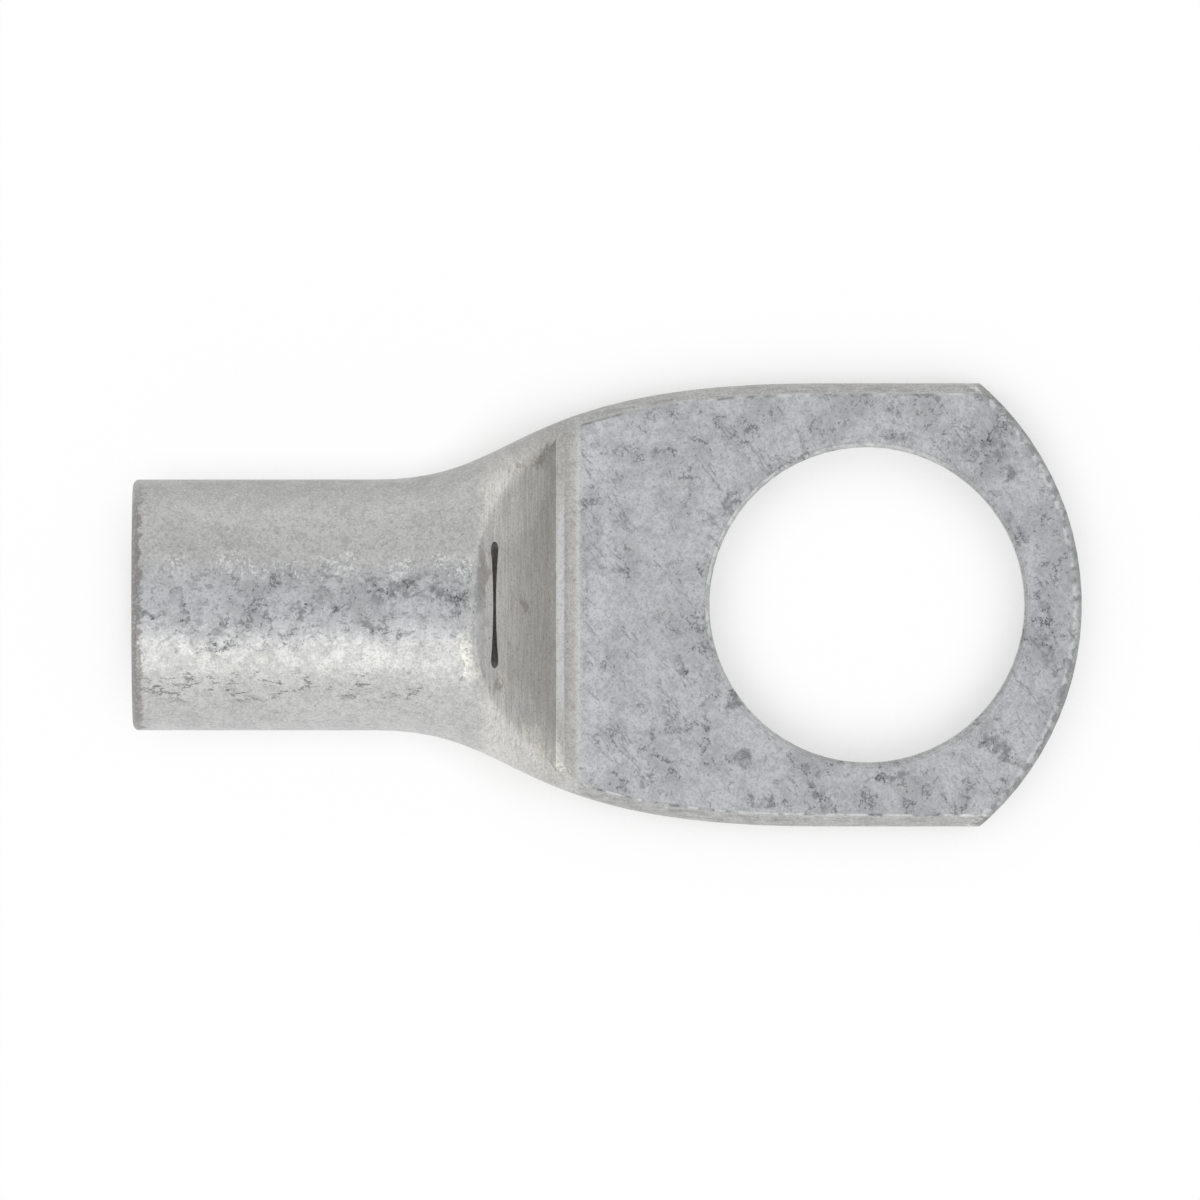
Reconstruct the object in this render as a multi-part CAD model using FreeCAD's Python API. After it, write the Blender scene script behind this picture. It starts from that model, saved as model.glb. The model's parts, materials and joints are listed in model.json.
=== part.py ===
# Tinned copper tube terminal: a crimp barrel pressed flat into a palm with a stud hole.
# Millimetres. The origin is the centre of the stud hole on the palm's underside.
# +X runs from the barrel to the palm's tip, and +Z is up, out of the palm's top.
import FreeCAD, Part
import math
import os

from FreeCAD import Placement, Rotation, Vector

# Barrel, sized for a 10 square millimetre conductor
BARREL_OUTER_D = 6.66
BORE_D = 4.8
BARREL_LENGTH = 8.6       # from the mouth to where the slope leaves the crown
MOUTH_ROUND = 0.2
MOUTH_LEAD_IN = 0.3

# Palm, pierced for an 8 mm stud
PALM_WIDTH = 11.8
PALM_THICKNESS = 1.5
PALM_SIDE_BULGE = 0.29    # how far the pressed sides stand out past the palm's top face
STUD_HOLE_D = 8.4
HOLE_TO_TIP = 5.71
HOLE_TO_CREASE = 8.28     # from the hole's centre back to the foot of the slope
TIP_RADIUS = 7.76
EDGE_BREAK = 0.09

# Spread of the tube in plan, from round barrel to full palm width
SPREAD_LEAD = 2.12        # how far before the slope it starts
SPREAD_LENGTH = 11.74
SPREAD_START_PULL = 3.95  # how long the outline holds the barrel's direction
SPREAD_END_PULL = 8.39    # and the palm's

# Slope from the barrel's crown down to the ledge at its foot
SLOPE_LENGTH = 2.62
SLOPE_TOP_PULL = 0.95     # how long the slope holds the crown's direction
SLOPE_FOOT_PULL = 2.1     # and its own at the foot
SLOPE_FOOT_ANGLE = 65.0   # degrees down from level
SLOPE_FACE_SHARE = 0.9    # of the width, at the foot, that the slope's flat face takes up

# Ledge and step that the palm die leaves at the foot of the slope
LEDGE_RISE = 0.37         # above the palm's top face
LEDGE_FALL = 0.05
LEDGE_SIDE_BULGE = 0.42
LEDGE_LENGTH = 0.23
STEP_LENGTH = 0.41
STEP_HOLLOW = 0.03        # the step curves in by this much

# Peep slit across the top of the slope, pinched between its two round eyes
SLIT_DOWN_SLOPE = 1.1     # along X from where the slope leaves the crown
SLIT_LENGTH = 3.35
SLIT_PINCH = 0.15
SLIT_EYE_D = 0.4
SLIT_LEAN = 35.0          # degrees from upright, leaning towards the barrel

# Seam where the two pressed walls of the palm meet, from where the cavity has closed
SEAM_GAP = 0.04
CLOSED_HEIGHT = 0.12

# Worked out from the sizes above
BARREL_R = BARREL_OUTER_D / 2
BORE_R = BORE_D / 2
WALL = BARREL_R - BORE_R
PALM_HALF = PALM_WIDTH / 2
SEAM_Z = PALM_THICKNESS / 2
LEDGE_HEIGHT = PALM_THICKNESS + LEDGE_RISE
TIP_X = HOLE_TO_TIP
CREASE_X = -HOLE_TO_CREASE
LEDGE_END_X = CREASE_X + LEDGE_LENGTH
PALM_START_X = LEDGE_END_X + STEP_LENGTH
SLOPE_TOP_X = CREASE_X - SLOPE_LENGTH
MOUTH_X = SLOPE_TOP_X - BARREL_LENGTH
SPREAD_START_X = SLOPE_TOP_X - SPREAD_LEAD
SPREAD_END_X = SPREAD_START_X + SPREAD_LENGTH
PLAN_CURVE = (
    (SPREAD_START_X, BARREL_R),
    (SPREAD_START_X + SPREAD_START_PULL, BARREL_R),
    (SPREAD_END_X - SPREAD_END_PULL, PALM_HALF),
    (SPREAD_END_X, PALM_HALF),
)
FOOT_ANGLE = math.radians(SLOPE_FOOT_ANGLE)
FOOT_PULL_X = SLOPE_FOOT_PULL * math.cos(FOOT_ANGLE)
FOOT_PULL_Z = SLOPE_FOOT_PULL * math.sin(FOOT_ANGLE)
SLOPE_CURVE = (
    (SLOPE_TOP_X, BARREL_OUTER_D),
    (SLOPE_TOP_X + SLOPE_TOP_PULL, BARREL_OUTER_D),
    (CREASE_X - FOOT_PULL_X, LEDGE_HEIGHT + FOOT_PULL_Z),
    (CREASE_X, LEDGE_HEIGHT),
)
CLOSED_TOP_Z = SEAM_Z + CLOSED_HEIGHT / 2
CLOSED_FALL = LEDGE_HEIGHT - WALL * math.cos(FOOT_ANGLE) - CLOSED_TOP_Z
CAVITY_END_X = CREASE_X - WALL * math.sin(FOOT_ANGLE) + CLOSED_FALL / math.tan(FOOT_ANGLE)
CAVITY_CURVE = (
    (SLOPE_TOP_X - WALL, BARREL_OUTER_D - WALL),
    (SLOPE_TOP_X + SLOPE_TOP_PULL - WALL * math.tan(FOOT_ANGLE / 2), BARREL_OUTER_D - WALL),
    (CAVITY_END_X - FOOT_PULL_X, CLOSED_TOP_Z + FOOT_PULL_Z),
    (CAVITY_END_X, CLOSED_TOP_Z),
)

# How many sections the skins run through
LEAD_SECTION_COUNT = 7
SLOPE_SECTION_COUNT = 12
PALM_SECTION_COUNT = 6
CAVITY_SECTION_COUNT = 8

# Room for the cutting shapes
OVERRUN = 1.0             # how far they run past the metal
DIE_STOCK = 0.3           # stock on the ledge and palm for the die to take off
ROUND_CLEAR = 0.01        # keeps the mouth tool off the barrel past the rounded rim
SAME_HEIGHT = 1e-6        # heights closer than this are one height

# A section has six rows of control points: two for each side, the crown and the underside
CROWN_ANGLE = math.radians(6.0)
SPAN_WEIGHT = math.cos(CROWN_ANGLE)
SIDE_WEIGHT = math.cos(math.pi / 4 - CROWN_ANGLE / 2)
ROW_WEIGHTS = (SIDE_WEIGHT, SIDE_WEIGHT, SPAN_WEIGHT, SIDE_WEIGHT, SIDE_WEIGHT, SPAN_WEIGHT)


def bezier(points, t):
    """Point at t on the cubic curve with these four control points."""
    weights = ((1 - t) ** 3, 3 * t * (1 - t) ** 2, 3 * t * t * (1 - t), t ** 3)
    return [sum(w * p[axis] for w, p in zip(weights, points)) for axis in (0, 1)]


def bezier_at(points, x):
    """Second coordinate of the curve where its first is x, or at its nearer end."""
    low, high = 0.0, 1.0
    for _ in range(50):
        middle = (low + high) / 2
        if bezier(points, middle)[0] < x:
            low = middle
        else:
            high = middle
    return bezier(points, low)[1]


def half_width(x):
    return bezier_at(PLAN_CURVE, x)


def slope_height(x):
    return bezier_at(SLOPE_CURVE, x)


def side_share(x):
    """Share of the half width that the rounded side takes: all of it, till the slope starts."""
    down_slope = min(max((x - SLOPE_TOP_X) / SLOPE_LENGTH, 0), 1)
    return 1 - SLOPE_FACE_SHARE * down_slope


def evenly(start, end, count):
    """Count places from start to end, both of them included."""
    return [start + (end - start) * i / (count - 1) for i in range(count)]


def arc_row(centre_y, centre_z, width, height, start, end):
    """Control points of an oval arc between two angles, counted from +Y towards +Z."""
    corner = 1 / math.cos((end - start) / 2)
    ways = ((1, start), (corner, (start + end) / 2), (1, end))
    return [(centre_y + way * width * math.cos(angle), centre_z + way * height * math.sin(angle))
            for way, angle in ways]


def span_row(half, side_z, middle_z):
    """Control points from +half to -half of a curve that reaches middle_z half way."""
    lift = (middle_z - side_z) * (1 + SPAN_WEIGHT) / SPAN_WEIGHT
    return [(half, side_z), (0, side_z + lift), (-half, side_z)]


def mirrored(row):
    return [(-y, z) for y, z in reversed(row)]


def section(half, low_z, middle_z, high_z, side_width, side_height):
    """Control points round the tube: lower and upper side, crown, the other side, underside.

    The sides are widest at middle_z, and are arcs of an oval with these two radii.
    """
    side_y = half - side_width
    steepest = math.cos(CROWN_ANGLE)
    upper_angle = math.asin(min((high_z - middle_z) / side_height, steepest))
    lower_angle = math.asin(min((middle_z - low_z) / side_height, steepest))
    upper = arc_row(side_y, middle_z, side_width, side_height, 0, upper_angle)
    lower = arc_row(side_y, middle_z, side_width, side_height, -lower_angle, 0)
    crown = span_row(*upper[2], high_z)
    under = [(-y, z) for y, z in span_row(*lower[0], low_z)]
    return [lower, upper, crown, mirrored(upper), mirrored(lower), under]


def rim_face(x, rows):
    """Flat face across the tube at x, inside one section."""
    edges = []
    for row, weight in zip(rows, ROW_WEIGHTS):
        start, control, end = [Vector(x, *point) for point in row]
        if start.z == control.z == end.z:
            edges.append(Part.makeLine(start, end))
        else:
            edge = Part.BezierCurve()
            edge.setPoles([start, control, end])
            edge.setWeight(2, weight)
            edges.append(edge.toShape())
    return Part.Face(Part.Wire(edges))


def flat_face(rim):
    """Flat face inside a rim, free of the surface that the rim was drawn on."""
    edges = [edge.Curve.toShape(edge.FirstParameter, edge.LastParameter)
             for edge in rim.OrderedEdges]
    return Part.Face(Part.Wire(edges))


def joint_slope(before, after):
    """Slope where two (run, rise) stretches meet: level, unless both go the same way."""
    if before[1] * after[1] <= 0:
        return 0.0
    before_share = 2 * after[0] + before[0]
    after_share = after[0] + 2 * before[0]
    steepness = before_share * before[0] / before[1] + after_share * after[0] / after[1]
    return (before_share + after_share) / steepness


def smooth_poles(points):
    """Control points of a curve through the points that never swings past them.

    It leaves both ends straight along X.
    """
    along = Vector(1, 0, 0)
    steps = [end - start for start, end in zip(points, points[1:])]
    slopes = [along]
    for low, high in zip(steps, steps[1:]):
        y, z = (joint_slope((low.x, rise), (high.x, next_rise))
                for rise, next_rise in ((low.y, high.y), (low.z, high.z)))
        slopes.append(Vector(1, y, z))
    slopes.append(along)
    poles = [points[0]]
    for start, step, slope, next_slope in zip(points, steps, slopes, slopes[1:]):
        third = step.x / 3
        poles += [start + slope * third, start + step - next_slope * third]
    return poles + [points[-1]]


def skin(stations, breaks):
    """Solid whose skin runs smoothly through the stations, which are (x, section).

    Its faces are split at the places in breaks.
    """
    places = [x for x, _ in stations]
    ends = [places[0], *breaks, places[-1]]
    knot_counts = [4] + [2] * (len(places) - 2) + [4]
    faces = [rim_face(*stations[0]), rim_face(*stations[-1])]
    for row, weight in enumerate(ROW_WEIGHTS):
        poles = [smooth_poles([Vector(x, *rows[row][point]) for x, rows in stations])
                 for point in range(3)]
        weights = [[w] * len(poles[0]) for w in (1, weight, 1)]
        for start, end in zip(ends, ends[1:]):
            surface = Part.BSplineSurface()
            surface.buildFromPolesMultsKnots(
                poles, [3, 3], knot_counts, [0, 1], places, False, False, 2, 3, weights)
            surface.segment(0, 1, start, end)
            face = surface.toShape()
            faces.append(flat_face(face.OuterWire) if surface.isPlanar() else face)
    shell = Part.makeShell(faces)
    shell.sewShape()
    solid = Part.makeSolid(shell)
    if solid.Volume < 0:
        solid.reverse()
    return solid


def prism(corners, arcs, sweep):
    """Solid swept from a closed outline; arcs gives the middle of each side that is round."""
    edges = []
    for i, (start, end) in enumerate(zip(corners, corners[1:] + corners[:1])):
        if i in arcs:
            edges.append(Part.Arc(start, arcs[i], end).toShape())
        else:
            edges.append(Part.makeLine(start, end))
    return Part.Face(Part.Wire(edges)).extrude(sweep)


def round_bar(radius, start_x, end_x):
    """Round bar on the barrel's axis."""
    return Part.makeCylinder(radius, end_x - start_x, Vector(start_x, 0, BARREL_R), Vector(1, 0, 0))


def free_station(x):
    """Where no die holds the tube's sides: they stay rounded, beside the slope's face."""
    height = slope_height(x)
    half = half_width(x)
    return x, section(half, 0, height / 2, height, half * side_share(x), height / 2)


def pressed_station(x, height, bulge):
    """Between the palm's dies: sides that stand out by bulge, and stock left on top."""
    side_r = (height * height / 4 + bulge * bulge) / (2 * bulge)
    return x, section(half_width(x), 0, height / 2, height + DIE_STOCK, side_r, side_r)


def blank():
    """The pressed tube as one solid bar, before the palm die takes off its top."""
    slope_middle_x = (SLOPE_TOP_X + CREASE_X) / 2
    free_end_x = CREASE_X - WALL / 3
    stations = [free_station(x) for x in evenly(SPREAD_START_X, SLOPE_TOP_X, LEAD_SECTION_COUNT)]
    stations += [free_station(x) for x in evenly(SLOPE_TOP_X, free_end_x, SLOPE_SECTION_COUNT)[1:]]
    stations += [pressed_station(CREASE_X, LEDGE_HEIGHT, LEDGE_SIDE_BULGE)]
    stations += [pressed_station(x, PALM_THICKNESS, PALM_SIDE_BULGE)
                 for x in evenly(PALM_START_X, SPREAD_END_X, PALM_SECTION_COUNT)]
    formed = skin(stations, [SLOPE_TOP_X, slope_middle_x, CREASE_X, PALM_START_X])
    barrel = round_bar(BARREL_R, MOUTH_X, SPREAD_START_X)
    palm = rim_face(*stations[-1]).extrude(Vector(TIP_X + OVERRUN - SPREAD_END_X, 0, 0))
    return formed.fuse([barrel, palm]).removeSplitter()


def palm_die():
    """What the die takes off the blank to leave the crease, ledge, step and flat palm."""
    reach = PALM_HALF + OVERRUN
    top_z = BARREL_OUTER_D + OVERRUN
    nose_lean = (top_z - LEDGE_HEIGHT) / math.tan(FOOT_ANGLE)
    end_x = TIP_X + 2 * OVERRUN
    corners = [Vector(x, -reach, z) for x, z in (
        (CREASE_X - nose_lean, top_z),
        (CREASE_X, LEDGE_HEIGHT),
        (LEDGE_END_X, LEDGE_HEIGHT - LEDGE_FALL),
        (PALM_START_X, PALM_THICKNESS),
        (end_x, PALM_THICKNESS),
        (end_x, top_z),
    )]
    along_step = (corners[3] - corners[2]).normalize()
    hollow = Vector(along_step.z, 0, -along_step.x) * STEP_HOLLOW
    return prism(corners, {2: (corners[2] + corners[3]) / 2 + hollow}, Vector(0, 2 * reach, 0))


def tip_shear():
    """The plan that the shear leaves: open at the barrel, round at the tip."""
    low_z = -OVERRUN
    round_start_x = TIP_X - TIP_RADIUS
    back_x = MOUTH_X - OVERRUN
    corners = [Vector(x, y, low_z) for x, y in (
        (back_x, -TIP_RADIUS),
        (round_start_x, -TIP_RADIUS),
        (round_start_x, TIP_RADIUS),
        (back_x, TIP_RADIUS),
    )]
    return prism(corners, {1: Vector(TIP_X, 0, low_z)}, Vector(0, 0, BARREL_OUTER_D + 2 * OVERRUN))


def stud_hole():
    return Part.makeCylinder(STUD_HOLE_D / 2, PALM_THICKNESS + 2 * OVERRUN, Vector(0, 0, -OVERRUN))


def mouth_tool():
    """What the tube cutter takes off the mouth: it rounds the rim and opens a lead-in."""
    rim_r = BARREL_R + ROUND_CLEAR
    past_x = MOUTH_X - OVERRUN
    inner_r = BORE_R - OVERRUN
    round_centre = Vector(MOUTH_X + MOUTH_ROUND, 0, rim_r - MOUTH_ROUND)
    corners = [Vector(x, 0, r) for x, r in (
        (MOUTH_X, rim_r - MOUTH_ROUND),
        (MOUTH_X + MOUTH_ROUND, rim_r),
        (MOUTH_X + MOUTH_ROUND, rim_r + OVERRUN),
        (past_x, rim_r + OVERRUN),
        (past_x, inner_r),
        (MOUTH_X + MOUTH_LEAD_IN + OVERRUN, inner_r),
        (MOUTH_X, BORE_R + MOUTH_LEAD_IN),
    )]
    round_middle = round_centre + Vector(-1, 0, 1).normalize() * MOUTH_ROUND
    edges = [Part.Arc(corners[0], round_middle, corners[1]).toShape()]
    edges += [Part.makeLine(start, end) for start, end in zip(corners[1:], corners[2:] + corners[:1])]
    tool = Part.Face(Part.Wire(edges)).revolve(Vector(), Vector(1, 0, 0), 360)
    tool.translate(Vector(0, 0, BARREL_R))
    return tool


def inner_station(t):
    """Inside the tube at the cavity curve's point at t: it closes from the bore to the seam."""
    x, high_z = bezier(CAVITY_CURVE, t)
    low_z = WALL + (SEAM_Z - CLOSED_HEIGHT / 2 - WALL) * t
    half = half_width(x) - WALL
    side_r = (high_z - low_z) / 2
    return x, section(half, low_z, low_z + side_r, high_z, half * side_share(x), side_r)


def cavity():
    """The bore, and the space past it that closes down to the seam."""
    bore_end_x = CAVITY_CURVE[0][0]
    stations = [(bore_end_x, section(BORE_R, WALL, BARREL_R, BARREL_R + BORE_R, BORE_R, BORE_R))]
    stations += [inner_station(t) for t in evenly(0, 1, CAVITY_SECTION_COUNT)[1:]]
    closing = skin(stations, [stations[CAVITY_SECTION_COUNT // 2][0]])
    return closing.fuse(round_bar(BORE_R, MOUTH_X - OVERRUN, bore_end_x))


def seam():
    """The hairline between the palm's two walls, from the cavity out to the tip."""
    z = SEAM_Z - SEAM_GAP / 2
    places = evenly(CAVITY_END_X - WALL / 2, SPREAD_END_X, PALM_SECTION_COUNT)
    side = Part.BSplineCurve()
    side.interpolate([Vector(x, half_width(x) - WALL, z) for x in places])
    left = side.toShape()
    right = left.mirror(Vector(), Vector(0, 1, 0))
    end_x = TIP_X + OVERRUN
    back, front = side.StartPoint, side.EndPoint
    corners = [front, Vector(end_x, front.y, z), Vector(end_x, -front.y, z), Vector(front.x, -front.y, z)]
    edges = [Part.makeLine(start, end) for start, end in zip(corners, corners[1:])]
    edges += [Part.makeLine(Vector(back.x, -back.y, z), back)]
    outline = Part.Wire(Part.sortEdges([left, right, *edges])[0])
    return Part.Face(outline).extrude(Vector(0, 0, SEAM_GAP))


def peep_slit():
    """The pierced slit: a pinched gap with a round eye at each end, down into the cavity."""
    depth = 2 * WALL
    eye_r = SLIT_EYE_D / 2
    eye_y = SLIT_LENGTH / 2 - eye_r
    corners = [Vector(x, y, -depth) for x, y in (
        (eye_r, -eye_y), (eye_r, eye_y), (-eye_r, eye_y), (-eye_r, -eye_y))]
    arcs = {
        0: Vector(SLIT_PINCH / 2, 0, -depth),
        1: Vector(0, SLIT_LENGTH / 2, -depth),
        2: Vector(-SLIT_PINCH / 2, 0, -depth),
        3: Vector(0, -SLIT_LENGTH / 2, -depth),
    }
    slit = prism(corners, arcs, Vector(0, 0, depth + WALL))
    slit_x = SLOPE_TOP_X + SLIT_DOWN_SLOPE
    slit.Placement = Placement(
        Vector(slit_x, 0, slope_height(slit_x)), Rotation(Vector(0, 1, 0), SLIT_LEAN))
    return slit


def top_rims(shape):
    """The sheared edges round the palm's top face: the stud hole's and the tip's."""
    rounds = [edge for edge in shape.Edges if isinstance(edge.Curve, Part.Circle)]
    return [edge for edge in rounds if abs(edge.Curve.Center.z - PALM_THICKNESS) < SAME_HEIGHT]


def ring_terminal():
    metal = blank().cut(palm_die()).common(tip_shear()).cut(stud_hole())
    metal = metal.makeChamfer(EDGE_BREAK, top_rims(metal))
    for tool in (cavity(), mouth_tool(), seam(), peep_slit()):
        metal = metal.cut(tool)
    return metal


os.makedirs("parts", exist_ok=True)
ring_terminal().exportStep("parts/ring_terminal.step")
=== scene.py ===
# Looks of the tinned copper tube terminal: its plating, the floor, the light and the camera.
# The frame is in metres, with +X from barrel to palm tip and +Z up. Sizes here are in millimetres.
import json
import math
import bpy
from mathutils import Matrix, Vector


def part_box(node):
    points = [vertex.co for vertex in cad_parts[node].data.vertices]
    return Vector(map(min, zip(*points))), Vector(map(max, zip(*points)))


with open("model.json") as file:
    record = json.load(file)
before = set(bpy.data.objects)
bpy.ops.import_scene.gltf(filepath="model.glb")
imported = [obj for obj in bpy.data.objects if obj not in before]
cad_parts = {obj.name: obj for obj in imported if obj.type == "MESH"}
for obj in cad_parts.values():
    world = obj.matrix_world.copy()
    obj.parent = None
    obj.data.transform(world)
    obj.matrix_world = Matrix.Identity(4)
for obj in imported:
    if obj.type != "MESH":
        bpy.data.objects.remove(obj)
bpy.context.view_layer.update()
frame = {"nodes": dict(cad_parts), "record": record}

from types import SimpleNamespace

import bpy
from mathutils import Vector

MM = 0.001
TERMINAL = frame["nodes"]["ring_terminal"]
LOW, HIGH = (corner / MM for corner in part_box("ring_terminal"))

# Places along the terminal, as the part has them
STUD_HOLE = next(m for m in frame["record"]["mounts"] if m["name"] == "stud_hole")
PALM_TOP_Z = STUD_HOLE["dims"]["length_mm"]
HOLE_R = STUD_HOLE["dims"]["r_mm"]
TIP_R = 7.76
SLOPE_TOP_X = LOW.x + 8.6
SLIT_X = SLOPE_TOP_X + 1.1
CREASE_X = SLOPE_TOP_X + 2.62
LEDGE_END_X = CREASE_X + 0.23
PALM_START_X = LEDGE_END_X + 0.41

# Half the width in plan, from round barrel to full palm, at places along X
HALF_WIDTHS = ((LOW.x, 3.33), (-13.0, 3.33), (-12.0, 3.40), (-11.0, 3.63), (-10.0, 4.04),
               (-9.0, 4.53), (-8.0, 4.96), (-7.0, 5.28), (-6.0, 5.52), (-5.0, 5.68),
               (-4.0, 5.79), (-3.0, 5.86), (-1.3, 5.90), (HIGH.x, 5.90))

# Parts of the finish: the pressed band along each side of the palm, the chipped tip, and how far
# the rubbed crown, its crackled border and the cracked lower flank reach across the barrel
SIDE_BAND = 0.29
CHIPPED_TIP_X = 2.2
CROWN_Y = (-1.1, 1.0)
CROWN_BORDER_Y = (0.7, 1.35)
FLANK_Y = (-2.5, -1.8)

# The uneven borders of these parts: how coarse they are, and how far they stray from side to side
WANDER_SIZE = 0.35
WANDER_REACH = 0.9

# How widely pressing rounds the slope's edges
EDGE_ROUNDING = 0.5

# Sizes of the plating's patterns, from the coarsest to the finest
CLOUDS = 1.3
WEAR = 1.2
CRACKS = 0.9
MOTTLE = 0.5
FINE_MOTTLE = 0.17
SPECKS = 0.1
GRAIN = 0.06
CRACK_WIDTH = 0.034
SCRATCH_WIDTH = 0.022

# Heights of the plating's relief
WAVE_HEIGHT = 0.022
GRAIN_HEIGHT = 0.003
STREAK_HEIGHT = 0.002
PIT_DEPTH = 0.002

# Marks on the top: x, y, length, width and turn in degrees. The dark ones are marks of handling;
# the glints are painted highlights.
DARK_MARKS = (
    (-5.0, -1.65, 0.75, 0.3, -60), (-4.3, -3.6, 1.6, 0.14, 84), (-5.8, -4.5, 0.6, 0.12, 95),
    (-1.5, -4.6, 0.8, 0.45, -50), (-1.25, -5.2, 0.6, 0.4, -60), (0.55, -4.6, 1.4, 0.3, 8),
    (2.05, -5.1, 0.5, 0.2, -75), (3.5, -3.85, 1.5, 0.5, -38), (4.7, -0.7, 2.3, 0.6, 97),
    (3.85, 3.5, 0.6, 0.5, 30), (3.1, 4.1, 1.2, 0.9, 30), (3.95, 2.2, 1.0, 0.25, 115),
    (-2.55, 3.5, 0.6, 0.3, 60), (-3.65, 2.8, 0.8, 0.35, 60), (-0.8, 4.65, 0.4, 0.08, -45),
    (0.8, 4.5, 0.9, 0.3, 0), (-3.5, -2.5, 0.9, 0.4, 45), (-3.3, -4.1, 0.6, 0.5, 10),
    (-2.6, -5.2, 0.5, 0.4, 30), (-6.4, 1.0, 0.3, 0.2, 0), (-13.3, -0.5, 0.7, 0.35, -20),
    (-17.1, -0.6, 0.3, 0.6, 0), (-17.3, -1.15, 1.2, 0.35, 10), (-10.7, 0.15, 0.35, 0.4, 0),
    (-14.05, -0.2, 0.35, 0.3, 0), (-18.1, -0.2, 0.2, 0.9, 10), (-12.7, 0.4, 1.6, 0.6, 0),
    (-11.2, 0.2, 1.3, 0.6, -15), (-14.8, 0.0, 1.2, 0.5, 30), (-19.0, -0.25, 0.8, 0.15, 5),
)
# Painted glints: near-white spots that stand in for highlights by the slit and on the slope's lower
# ridge
PAINTED_GLINTS = (
    (-10.65, -1.3, 0.4, 1.2, 10), (-9.75, -1.95, 0.25, 0.3, 30), (-8.85, -3.5, 1.1, 0.4, -48),
    (-8.6, -3.85, 0.6, 0.3, -50), (-8.15, -4.3, 0.7, 0.07, -42),
)
BROWN_MARKS = (
    (-9.2, 3.67, 0.25, 0.25, 0), (-8.6, 3.95, 0.8, 0.16, 58), (-9.1, -0.05, 0.3, 0.4, 0),
    (-10.2, 0.75, 0.3, 1.6, 0), (-9.85, -2.1, 0.35, 0.6, -25),
)
# Where pressing left the slope's sides rounder: there the surface leans, and a painted highlight
# makes them brighter
ROUNDED_HIGHLIGHT_MARKS = ((-9.1, -3.1, 3.2, 1.1, -55), (-9.35, 2.7, 2.4, 1.3, 62))

# The paper floor, a hair under the terminal, and how far the terminal's soft shade reaches on it
FLOOR_HALF_SIZE = 1500.0
FLOOR_GAP = 0.02
SHADE_REACH = 2.0

# The view: straight down, from far enough away to look flat
VIEW_WIDTH = 31.92
VIEW_CENTRE = Vector((-7.108, 0.13, PALM_TOP_Z))
LENS = 900.0
SENSOR = 36.0
FAR_LIMIT = 10000.0


def linear(hex_colour):
    """Linear RGBA of an sRGB hex colour."""
    channels = [int(hex_colour[i:i + 2], 16) / 255 for i in (1, 3, 5)]
    return [c / 12.92 if c <= 0.04045 else ((c + 0.055) / 1.055) ** 2.4 for c in channels] + [1.0]


def add(tree, kind, inputs, output=0, **settings):
    """Adds a node with its settings and links, and returns one of its outputs, if it has any.

    Each input is a plain value, or another node's output to link to.
    """
    made = tree.nodes.new("ShaderNode" + kind)
    for name, value in settings.items():
        setattr(made, name, value)
    for key, value in inputs.items():
        if isinstance(value, bpy.types.NodeSocket):
            tree.links.new(value, made.inputs[key])
        else:
            made.inputs[key].default_value = value
    return made.outputs[output] if made.outputs else None


def new_material(name):
    """An empty material and its tree of nodes."""
    material = bpy.data.materials.new(name)
    material.use_nodes = True
    material.node_tree.nodes.clear()
    return material, material.node_tree


def joined(tree, operation, *values):
    """The values put together two by two with a Math operation."""
    total = values[0]
    for value in values[1:]:
        total = add(tree, "Math", {0: total, 1: value}, operation=operation)
    return total


def ramp(tree, value, zero, one):
    """0 where the value is at zero, 1 where it is at one, and smooth between."""
    low, high = (zero, one) if zero < one else (one, zero)
    ends = {"To Min": 0.0, "To Max": 1.0} if zero < one else {"To Min": 1.0, "To Max": 0.0}
    return add(tree, "MapRange", {"Value": value, "From Min": low, "From Max": high, **ends},
               interpolation_type="SMOOTHSTEP")


def band(tree, value, low, high, blur):
    """1 where the value lies between low and high, falling to 0 over blur on each side."""
    rise = ramp(tree, value, low - blur, low + blur)
    fall = ramp(tree, value, high + blur, high - blur)
    return joined(tree, "MULTIPLY", rise, fall)


def noise(tree, place, size, seed, detail=3.0, roughness=0.6):
    """Noise with blotches about size millimetres across."""
    return add(tree, "TexNoise", {"Vector": place, "W": seed, "Scale": 1 / size, "Detail": detail,
                                  "Roughness": roughness}, noise_dimensions="4D")


def patches(tree, place, size, seed, zero, one, detail=3.0):
    """Blotches about size millimetres across, kept where the noise passes from zero to one."""
    return ramp(tree, noise(tree, place, size, seed, detail), zero, one)


def cracks(tree, place, size, width, seed):
    """Thin crooked lines in short stretches, where the noise crosses its middle."""
    wander = noise(tree, place, size, seed, detail=6.0, roughness=0.68)
    off_middle = joined(tree, "SUBTRACT", wander, 0.5)
    distance = add(tree, "Math", {0: off_middle}, operation="ABSOLUTE")
    line = ramp(tree, distance, 0.55 * width / size, 0.2 * width / size)
    kept = patches(tree, place, 0.45 * size, seed + 3, 0.5, 0.56, detail=2.0)
    return joined(tree, "MULTIPLY", line, kept)


def marks(tree, place, places):
    """Ragged oval patches at the given places, 1 in their middle."""
    found = None
    for x, y, length, width, turn in places:
        # Each fades out at 0.8 of its length and width from its middle, at any height
        inside = add(tree, "Mapping", {
            "Vector": place, "Location": (x, y, 0), "Rotation": (0, 0, math.radians(turn)),
            "Scale": (0.8 * length, 0.8 * width, 1000)}, vector_type="TEXTURE")
        depth = add(tree, "TexGradient", {"Vector": inside}, output=1, gradient_type="SPHERICAL")
        mark = ramp(tree, depth, 0.2, 0.65)
        found = mark if found is None else joined(tree, "MAXIMUM", found, mark)
    return found


def blend(tree, share, first, second):
    """The first colour turning to the second as share goes from 0 to 1."""
    first, second = (linear(c) if isinstance(c, str) else c for c in (first, second))
    return add(tree, "Mix", {0: share, 6: first, 7: second}, output=2, data_type="RGBA")


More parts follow.
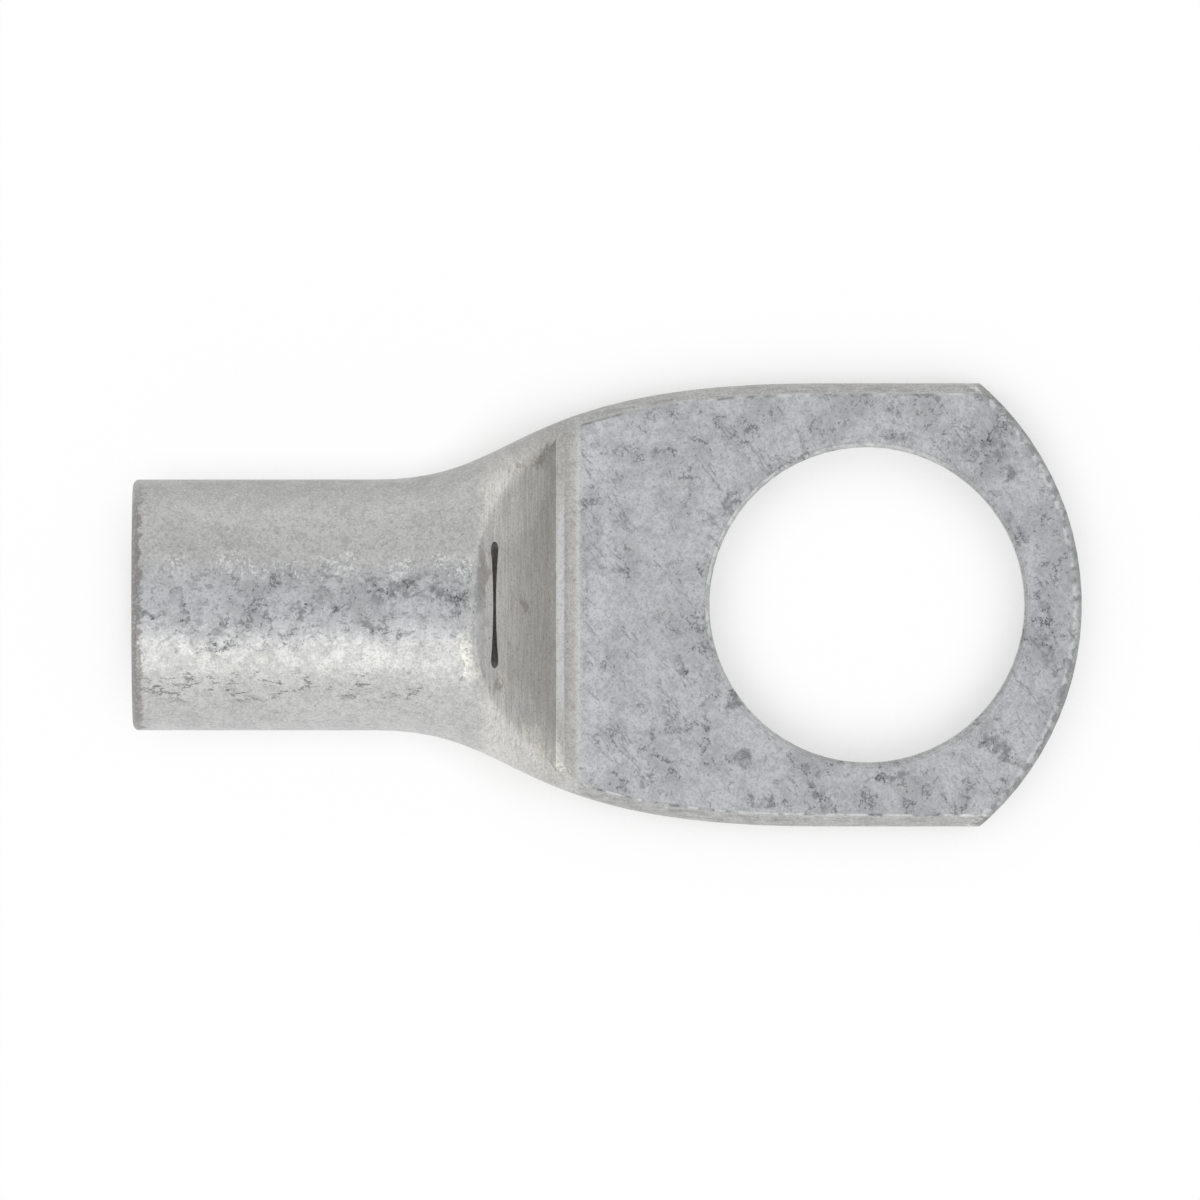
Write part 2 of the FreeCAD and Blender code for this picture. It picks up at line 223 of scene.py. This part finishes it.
def tint(tree, colour, mask, amount, other):
    """The colour, drawn towards another by amount where the mask is 1."""
    return blend(tree, joined(tree, "MULTIPLY", mask, amount), colour, other)


def half_width(tree, x):
    """Half the terminal's width in plan at x, from a curve whose height of 1 means full."""
    start, end = HALF_WIDTHS[0][0], HALF_WIDTHS[-1][0]
    full = 10.0
    along = add(tree, "MapRange", {"Value": x, "From Min": start, "From Max": end})
    width = add(tree, "FloatCurve", {"Value": along})
    curve = width.node.mapping.curves[0]
    for place, half in HALF_WIDTHS[1:-1]:
        curve.points.new((place - start) / (end - start), half / full)
    curve.points[0].location.y = HALF_WIDTHS[0][1] / full
    curve.points[-1].location.y = HALF_WIDTHS[-1][1] / full
    width.node.mapping.update()
    return joined(tree, "MULTIPLY", width, full)


def terminal_places(tree):
    """Where a point of the terminal is, in millimetres, and masks that are 1 in its regions.

    A ragged place wanders about the true one, for regions with an uneven border.
    """
    metres = add(tree, "TexCoord", {}, output=3)
    place = add(tree, "Mapping", {"Vector": metres, "Scale": (1 / MM, 1 / MM, 1 / MM)})
    facing_up = add(tree, "SeparateXYZ", {0: add(tree, "NewGeometry", {}, output=1)}, output=2)
    shift = add(tree, "TexNoise", {"Vector": place, "Scale": 1 / WANDER_SIZE, "Detail": 4.0,
                                   "Roughness": 0.65}, output=1)
    centred = add(tree, "VectorMath", {0: shift, 1: (0.5, 0.5, 0.5)}, operation="SUBTRACT")
    ragged = add(tree, "VectorMath", {0: centred, 1: [WANDER_REACH] * 3, 2: place},
                 operation="MULTIPLY_ADD")
    x, y = add(tree, "SeparateXYZ", {0: place}).node.outputs[:2]
    ragged_x, ragged_y = add(tree, "SeparateXYZ", {0: ragged}).node.outputs[:2]
    up = ramp(tree, facing_up, 0.0, 0.3)

    # Distances in from the edges: the long sides, the tip's arc and the stud hole
    across = add(tree, "Math", {0: y}, operation="ABSOLUTE")
    from_side = joined(tree, "SUBTRACT", half_width(tree, x), across)
    plan = add(tree, "CombineXYZ", {0: x, 1: y})
    from_tip_centre = add(tree, "VectorMath", {0: plan, 1: (HIGH.x - TIP_R, 0, 0)}, output=1,
                          operation="DISTANCE")
    from_tip = add(tree, "Math", {0: TIP_R, 1: from_tip_centre}, operation="SUBTRACT")
    at_tip = ramp(tree, x, CHIPPED_TIP_X - 0.2, CHIPPED_TIP_X + 0.2)
    from_middle = add(tree, "VectorMath", {0: plan}, output=1, operation="LENGTH")
    from_hole = joined(tree, "SUBTRACT", from_middle, HOLE_R)

    # Regions, from the barrel's mouth to the palm
    mouth = ramp(tree, ragged_x, LOW.x + 0.31, LOW.x + 0.19)
    crown = joined(tree, "MULTIPLY", band(tree, ragged_x, LOW.x + 0.2, SLIT_X - 0.45, 0.15),
                   band(tree, ragged_y, *CROWN_Y, 0.3))
    slope = band(tree, ragged_x, SLIT_X - 0.4, CREASE_X, 0.15)
    die_width = joined(tree, "MULTIPLY", ramp(tree, from_side, 0.15, 0.4), up)
    ledge = joined(tree, "MULTIPLY", die_width,
                   band(tree, x, CREASE_X + 0.02, LEDGE_END_X - 0.02, 0.03))
    step = joined(tree, "MULTIPLY", die_width,
                  band(tree, x, LEDGE_END_X, PALM_START_X - 0.08, 0.04))
    lip = joined(tree, "MULTIPLY", die_width,
                 band(tree, x, PALM_START_X - 0.12, PALM_START_X + 0.04, 0.06))
    on_palm = ramp(tree, x, PALM_START_X - 0.08, PALM_START_X + 0.1)
    face = joined(tree, "MULTIPLY", on_palm, ramp(tree, from_side, SIDE_BAND, SIDE_BAND + 0.04))
    sides = joined(tree, "MULTIPLY", on_palm,
                   ramp(tree, from_side, SIDE_BAND + 0.02, SIDE_BAND - 0.06))
    rubbed = joined(tree, "MAXIMUM", face, crown)
    return SimpleNamespace(
        place=place, ragged=ragged, x=x, y=y, ragged_x=ragged_x, ragged_y=ragged_y, up=up,
        across=across, from_side=from_side, from_tip=from_tip, at_tip=at_tip, from_hole=from_hole,
        mouth=mouth, crown=crown, slope=slope, ledge=ledge, step=step, lip=lip, on_palm=on_palm,
        face=face, sides=sides, rubbed=rubbed)


def cloudy_plating(tree, at, mottle):
    """Plating in clouds, warm where untouched and bluish where pressed or rubbed."""
    clouds = patches(tree, at.place, CLOUDS, 1.0, 0.4, 0.6, detail=4.0)
    colour = blend(tree, clouds, "#C6C6C5", "#CECECD")
    colour = tint(tree, colour, at.rubbed, 0.8, "#D5D5D7")
    by_step = band(tree, at.ragged_x, PALM_START_X, PALM_START_X + 0.8, 0.3)
    colour = tint(tree, colour, joined(tree, "MULTIPLY", by_step, at.face), 0.75, "#DFDFE1")
    shown = add(tree, "MapRange", {"Value": at.rubbed, "To Min": 0.3, "To Max": 1.0})
    colour = tint(tree, colour, joined(tree, "MULTIPLY", mottle, shown), 0.3, "#ADAEB0")
    fine_mottle = patches(tree, at.place, FINE_MOTTLE, 3.0, 0.45, 0.62)
    return tint(tree, colour, fine_mottle, 0.38, "#A6A7A9")


def browner_folds_and_painted_light(tree, at, colour, rounded_highlight):
    """Adds the slope, paler at its top, the ledge, step and lip, the side bands and the mouth.

    The side bands are painted darker towards +Y, and the flare greyer on its +Y side, both as
    painted shade.
    Painted highlights brighten the slope's top, the ledge, the lip and the slope's sides where
    pressing rounded them; the slope darkens down towards the crease as painted shade.
    """
    # Painted light: the slope is drawn pale, palest at its top, and darker down towards the crease
    # as painted shade
    down_slope = add(tree, "MapRange", {"Value": at.x, "From Min": SLIT_X, "From Max": CREASE_X})
    colour = tint(tree, colour, at.slope, 0.8, blend(tree, down_slope, "#E6E3DE", "#C9C6BF"))
    colour = tint(tree, colour, at.step, 0.6, "#C9C7C2")
    # Painted highlight on the ledge, bright in its middle and greyer towards its ends
    toward_ends = ramp(tree, at.across, 2.2, 3.6)
    colour = tint(tree, colour, at.ledge, 0.6, blend(tree, toward_ends, "#E2E2E1", "#B7B5B0"))
    # Painted highlight on the lip where the step meets the palm
    colour = tint(tree, colour, at.lip, 0.5, "#DFE0E1")
    # Painted shade: the grey side bands are drawn darker towards +Y, the side away from the key
    # lamp
    side_shade = add(tree, "MapRange", {"Value": at.y, "From Min": -3.0, "From Max": 3.0,
                                        "To Min": 0.65, "To Max": 1.0})
    colour = tint(tree, colour, joined(tree, "MULTIPLY", at.sides, side_shade), 0.75, "#AAA9A6")
    along_x = add(tree, "Mapping", {"Vector": at.place, "Scale": (0.2, 1.0, 1.0)})
    side_lines = patches(tree, along_x, 0.12, 9.0, 0.45, 0.6)
    colour = tint(tree, colour, joined(tree, "MULTIPLY", side_lines, at.sides), 0.4, "#83827F")
    colour = tint(tree, colour, at.mouth, 0.85, "#8A8885")
    # Painted shade near the +Y edge of the barrel and flare, the side away from the key lamp
    shaded_upper_side = joined(tree, "MULTIPLY", ramp(tree, at.from_side, 1.1, -0.1),
                        ramp(tree, at.y, 0.0, 1.0),
                        ramp(tree, at.x, PALM_START_X + 0.3, PALM_START_X - 0.3))
    colour = tint(tree, colour, shaded_upper_side, 0.8, "#9E9E9C")
    # Painted highlight on the slope's rounded sides
    return tint(tree, colour, rounded_highlight, 0.6, "#F6F4F0")


def die_streaks(tree, at, colour, streaks):
    """Adds the streaks that the die left: along Y on the slope, across the step."""
    colour = tint(tree, colour, streaks, 0.25, "#8F8C87")
    across_step = add(tree, "Mapping", {"Vector": at.place, "Scale": (0.12, 1.0, 0.2)})
    step_lines = patches(tree, across_step, 0.09, 8.0, 0.45, 0.6)
    return tint(tree, colour, joined(tree, "MULTIPLY", step_lines, at.step), 0.35, "#A8A5A0")


def sparkling_grain(tree, colour, grain):
    """Adds dark and bright flecks of the grain.

    Tin's own crystals are some thousandths of a millimetre across, too fine to show, so the
    flecks are drawn 0.03 to 0.08 mm across.
    """
    colour = tint(tree, colour, ramp(tree, grain, 0.5, 0.68), 0.5, "#9C9D9F")
    return tint(tree, colour, ramp(tree, grain, 0.5, 0.33), 0.42, "#E3E3E3")


def marks_wear_and_painted_glints(tree, at, colour, specks, lines):
    """Adds pits and cracks, which gather in worn patches and in the marks of handling."""
    dark_marks, brown_marks, painted_glints = (
        joined(tree, "MULTIPLY", marks(tree, at.ragged, places), at.up)
        for places in (DARK_MARKS, BROWN_MARKS, PAINTED_GLINTS))
    smears = joined(tree, "MULTIPLY", dark_marks,
                    patches(tree, at.place, 0.18, 13.0, 0.4, 0.6, detail=6.0))
    colour = tint(tree, colour, smears, 0.75, "#7B7D7F")
    colour = tint(tree, colour, brown_marks, 0.5, "#8E867B")
    broken = patches(tree, at.place, 0.09, 14.0, 0.38, 0.58)
    # Painted glints: near-white painted highlights by the slit and along the slope's lower ridge
    colour = tint(tree, colour, joined(tree, "MULTIPLY", painted_glints, broken), 0.7, "#FFFDF2")
    toward_tip = add(tree, "MapRange", {"Value": at.x, "From Min": PALM_START_X,
                                        "From Max": HIGH.x, "To Min": 0.0, "To Max": 0.06})
    wear = joined(tree, "ADD", noise(tree, at.place, WEAR, 12.0, detail=5.0, roughness=0.65),
                  toward_tip)
    worn = joined(tree, "MULTIPLY", ramp(tree, wear, 0.49, 0.6), at.rubbed)
    greyed = joined(tree, "MULTIPLY", ramp(tree, wear, 0.45, 0.66), at.rubbed)
    colour = tint(tree, colour, greyed, 0.5, "#A4A5A6")
    colour = tint(tree, colour, joined(tree, "MULTIPLY", specks, worn), 0.7, "#6E7075")
    crazing = joined(tree, "MULTIPLY", lines, ramp(tree, wear, 0.44, 0.58), at.rubbed, 0.7)
    all_pits = joined(tree, "MULTIPLY", joined(tree, "MAXIMUM", specks, lines), dark_marks)
    return tint(tree, colour, joined(tree, "MAXIMUM", crazing, all_pits), 0.85, "#585B60")


def scratches_and_scuffs(tree, at, colour):
    """Adds slanting scratches on the palm, scuffs on the crown, a cracked flank and specks."""
    slanting = add(tree, "Mapping", {"Vector": at.place, "Rotation": (0, 0, math.radians(-50)),
                                     "Scale": (4.0, 1.0, 1.0)}, vector_type="TEXTURE")
    scratches = joined(tree, "MULTIPLY", cracks(tree, slanting, 1.0, SCRATCH_WIDTH, 61.0), at.face)
    colour = tint(tree, colour, scratches, 0.5, "#7B7E83")
    lengthwise = add(tree, "Mapping", {"Vector": at.place, "Scale": (0.5, 1.0, 1.0)})
    scuffs = joined(tree, "MULTIPLY",
                    patches(tree, lengthwise, 0.12, 17.0, 0.55, 0.63, detail=5.0), at.crown)
    colour = tint(tree, colour, scuffs, 0.45, "#7B7D7F")
    flank = joined(tree, "MULTIPLY", band(tree, at.ragged_y, *FLANK_Y, 0.15),
                   band(tree, at.ragged_x, LOW.x + 0.3, -11.5, 0.4))
    flank_cracks = joined(tree, "MULTIPLY", cracks(tree, lengthwise, 0.45, 0.024, 25.0), flank)
    colour = tint(tree, colour, flank_cracks, 0.75, "#6C6B69")
    return tint(tree, colour, patches(tree, at.place, 0.12, 15.0, 0.62, 0.68), 0.5, "#83807B")


def worn_edges_and_painted_highlights(tree, at, colour):
    """Adds a broken dark line and bright flecks beside the side bands, the hole and the tip."""
    fold = joined(tree, "MULTIPLY", at.on_palm,
                  band(tree, at.from_side, SIDE_BAND, SIDE_BAND + 0.07, 0.03))
    by_hole = joined(tree, "MULTIPLY", band(tree, at.from_hole, 0.12, 0.14, 0.03), 0.6)
    dark_line = joined(tree, "MULTIPLY", joined(tree, "MAXIMUM", fold, by_hole),
                       patches(tree, at.place, 1.0, 31.0, 0.4, 0.5, detail=6.0))
    colour = tint(tree, colour, dark_line, 0.65, "#6D6E71")

    # Bright flecks of worn edge, stronger towards -Y along the sides, and towards -X and +Y round
    # the hole;
    # this leaning towards the edges that face the key lamp is painted highlight
    toward_low_y = add(tree, "MapRange", {"Value": at.y, "From Min": 3.0, "From Max": -3.0,
                                          "To Min": 0.6, "To Max": 1.2})
    by_side = joined(tree, "MULTIPLY", at.on_palm, band(tree, at.from_side, 0.3, 0.36, 0.03),
                     toward_low_y)
    rim = joined(tree, "MULTIPLY", band(tree, at.from_hole, 0.03, 0.11, 0.02),
                 patches(tree, at.place, 0.3, 36.0, 0.43, 0.52, detail=5.0),
                 ramp(tree, joined(tree, "SUBTRACT", at.y, at.x), 0.5, 4.5))
    by_tip = joined(tree, "MULTIPLY", at.at_tip, band(tree, at.from_tip, 0.14, 0.24, 0.04), 0.7)
    near_edge = joined(tree, "MAXIMUM", by_side, rim, by_tip)
    flecks = joined(tree, "MULTIPLY",
                    patches(tree, at.place, 0.5, 33.0, 0.4, 0.55, detail=6.0), near_edge, at.up)
    colour = tint(tree, colour, flecks, 0.7, "#F2F2F0")

    # The tip, chipped by the shears, with a thin grey outline
    chips = joined(tree, "MULTIPLY",
                   patches(tree, at.place, 0.22, 35.0, 0.48, 0.56, detail=5.0),
                   ramp(tree, at.from_tip, 0.35, 0.15), at.at_tip, at.up)
    colour = tint(tree, colour, chips, 0.7, "#8C8D90")
    outermost = joined(tree, "MULTIPLY", ramp(tree, at.from_tip, 0.12, 0.05), at.at_tip, at.up)
    return tint(tree, colour, outermost, 0.5, "#8E8E8D")


def bright_crackle(tree, at, colour):
    """Adds bright crackle at the upper border of the rubbed crown."""
    border = joined(tree, "MULTIPLY", band(tree, at.ragged_y, *CROWN_BORDER_Y, 0.15),
                    band(tree, at.x, LOW.x + 0.5, SLIT_X - 0.5, 0.3),
                    patches(tree, at.place, 1.0, 41.0, 0.4, 0.6))
    crackle = joined(tree, "MULTIPLY", cracks(tree, at.place, 0.22, CRACK_WIDTH, 43.0), border)
    return tint(tree, colour, crackle, 0.7, "#F4F5F6")


def softened_normal(tree, at, rounded_highlight):
    """The surface's direction, rounded where pressing fades the slope's edges into the flare.

    The slit's edges stay sharp. The rounded lower side of the slope leans a little towards -Y.
    """
    rounded = add(tree, "Bevel", {"Radius": EDGE_ROUNDING * MM}, samples=6)
    by_slit = joined(tree, "MULTIPLY", ramp(tree, at.x, SLIT_X - 0.62, SLIT_X - 0.48),
                     ramp(tree, at.across, 2.1, 1.8),
                     ramp(tree, at.x, CREASE_X - 0.4, CREASE_X - 0.6))
    clear = joined(tree, "SUBTRACT", 1.0, by_slit)
    faded = joined(tree, "MULTIPLY", band(tree, at.x, SLOPE_TOP_X - 0.6, CREASE_X - 0.35, 0.2),
                   at.up, clear)
    base = add(tree, "Mix", {0: faded, 4: add(tree, "NewGeometry", {}, output=1), 5: rounded},
               output=1, data_type="VECTOR")
    lower_side = joined(tree, "MULTIPLY", rounded_highlight, ramp(tree, at.y, 0.0, -0.5), at.up)
    return add(tree, "VectorMath", {0: (0.0, -0.3, 0.0), 1: lower_side, 2: base},
               operation="MULTIPLY_ADD")


def tin_plate():
    """Matte tin, electroplated on copper.

    It gives a soft grey metal with a fine sparkling grain and cloudy patches. Where it was pressed
    or rubbed it is bluish, with dark pits and crooked cracks. Its folds are browner, with fine
    streaks from the die, and its edges are chipped.
    """
    material, tree = new_material("matte_tin_plate")
    at = terminal_places(tree)

    # Patterns that the colour shares with the relief or the gloss
    mottle = patches(tree, at.place, MOTTLE, 2.0, 0.45, 0.6, detail=5.0)
    grain = noise(tree, at.place, GRAIN, 4.3, detail=2.0, roughness=0.75)
    specks = patches(tree, at.place, SPECKS, 11.0, 0.6, 0.66, detail=2.0)
    lines = cracks(tree, at.place, CRACKS, CRACK_WIDTH, 21.0)
    along_y = add(tree, "Mapping", {"Vector": at.place, "Scale": (1.0, 0.045, 0.2)})
    streaks = joined(tree, "MULTIPLY", patches(tree, along_y, 0.05, 7.0, 0.42, 0.6), at.slope)
    rounded_highlight = marks(tree, at.place, ROUNDED_HIGHLIGHT_MARKS)

    colour = cloudy_plating(tree, at, mottle)
    colour = browner_folds_and_painted_light(tree, at, colour, rounded_highlight)
    colour = die_streaks(tree, at, colour, streaks)
    colour = sparkling_grain(tree, colour, grain)
    colour = marks_wear_and_painted_glints(tree, at, colour, specks, lines)
    colour = scratches_and_scuffs(tree, at, colour)
    colour = worn_edges_and_painted_highlights(tree, at, colour)
    colour = bright_crackle(tree, at, colour)

    # Relief: gentle waves, the grain, and what the pits and cracks take away
    waves = noise(tree, at.place, 0.5, 6.0, detail=3.0, roughness=0.55)
    relief = joined(tree, "MULTIPLY", waves, WAVE_HEIGHT)
    for part, height in ((grain, GRAIN_HEIGHT), (specks, -PIT_DEPTH), (lines, -PIT_DEPTH),
                         (streaks, STREAK_HEIGHT)):
        relief = add(tree, "Math", {0: part, 1: height, 2: relief}, operation="MULTIPLY_ADD")
    bumped = add(tree, "Bump", {"Height": relief, "Distance": MM, "Strength": 1.0,
                                "Normal": softened_normal(tree, at, rounded_highlight)})

    rough = add(tree, "MapRange", {"Value": mottle, "To Min": 0.38, "To Max": 0.48})
    shader = add(tree, "BsdfPrincipled", {"Base Color": colour, "Metallic": 1.0,
                                          "Roughness": rough, "Normal": bumped})
    add(tree, "OutputMaterial", {"Surface": shader})
    return material


def paper():
    """Seamless white paper under the terminal.

    It is pure white to the eye away from the terminal. Close to it, where the terminal hides part
    of the sky, more of the real paper shows, with its faint soft shade.
    """
    material, tree = new_material("white_paper")
    sheet = add(tree, "BsdfDiffuse", {"Color": linear("#FFFFFF")})
    glow = add(tree, "Emission", {"Color": linear("#FFFFFF"), "Strength": 1.0})
    path = tree.nodes.new("ShaderNodeLightPath").outputs
    seen = joined(tree, "MAXIMUM", path["Is Camera Ray"], path["Is Glossy Ray"],
                  path["Is Transmission Ray"])
    open_sky = add(tree, "AmbientOcclusion", {"Distance": SHADE_REACH * MM}, output=1, samples=6)
    share = joined(tree, "MULTIPLY", seen, add(tree, "MapRange", {
        "Value": open_sky, "From Min": 0.5, "From Max": 0.88, "To Min": 0.42, "To Max": 0.98}))
    lit = add(tree, "MixShader", {0: share, 1: sheet, 2: glow})
    add(tree, "OutputMaterial", {"Surface": lit})
    return material


def floor():
    """Level sheet of paper under the terminal."""
    side = FLOOR_HALF_SIZE * MM
    mesh = bpy.data.meshes.new("paper_floor")
    corners = [(-side, -side, 0), (side, -side, 0), (side, side, 0), (-side, side, 0)]
    mesh.from_pydata(corners, [], [(0, 1, 2, 3)])
    sheet = bpy.data.objects.new("paper_floor", mesh)
    bpy.context.scene.collection.objects.link(sheet)
    sheet.location.z = -FLOOR_GAP * MM
    mesh.materials.append(paper())


def softbox(name, tilt, turn, distance, size, radiance, colour):
    """Square lamp aimed at the terminal, tilted from overhead and turned from +X, in degrees."""
    size = size * MM
    light = bpy.data.lights.new(name, "AREA")
    light.size = size
    light.energy = radiance * math.pi * size * size
    light.color = linear(colour)[:3]
    lamp = bpy.data.objects.new(name, light)
    bpy.context.scene.collection.objects.link(lamp)
    tilt, turn = math.radians(tilt), math.radians(turn)
    way = Vector((math.sin(tilt) * math.cos(turn), math.sin(tilt) * math.sin(turn), math.cos(tilt)))
    lamp.location = (Vector((VIEW_CENTRE.x, 0, 2)) + way * distance) * MM
    lamp.rotation_euler = way.to_track_quat("Z", "Y").to_euler()


def studio():
    """White room, brighter towards -Y, and a little darker and cooler overhead."""
    world = bpy.data.worlds.new("studio")
    bpy.context.scene.world = world
    world.use_nodes = True
    tree = world.node_tree
    tree.nodes.clear()
    way = add(tree, "TexCoord", {})
    way_y, way_z = add(tree, "SeparateXYZ", {0: way}).node.outputs[1:]
    room = blend(tree, ramp(tree, way_y, 0.6, -0.8), "#E9E9E6", "#FFFFFD")
    room = tint(tree, room, ramp(tree, way_z, 0.75, 0.97), 1.0, "#E0E2E6")
    path = tree.nodes.new("ShaderNodeLightPath").outputs
    seen = tint(tree, room, path["Is Camera Ray"], 1.0, "#FFFFFF")
    sky = add(tree, "Background", {"Color": seen, "Strength": 1.0})
    add(tree, "OutputWorld", {"Surface": sky})


def camera():
    """Camera straight above the terminal, with a long lens."""
    data = bpy.data.cameras.new("camera")
    data.lens = LENS
    data.sensor_width = SENSOR
    eye = bpy.data.objects.new("camera", data)
    bpy.context.scene.collection.objects.link(eye)
    distance = VIEW_WIDTH * LENS / SENSOR
    eye.location = (VIEW_CENTRE + Vector((0, 0, distance))) * MM
    data.clip_end = FAR_LIMIT * MM
    bpy.context.scene.camera = eye


TERMINAL.material_slots[0].material = tin_plate()
floor()
softbox("key", tilt=44, turn=-90, distance=300, size=170, radiance=0.88, colour="#FFFDF8")
studio()
camera()
bpy.context.scene.view_settings.view_transform = "Standard"
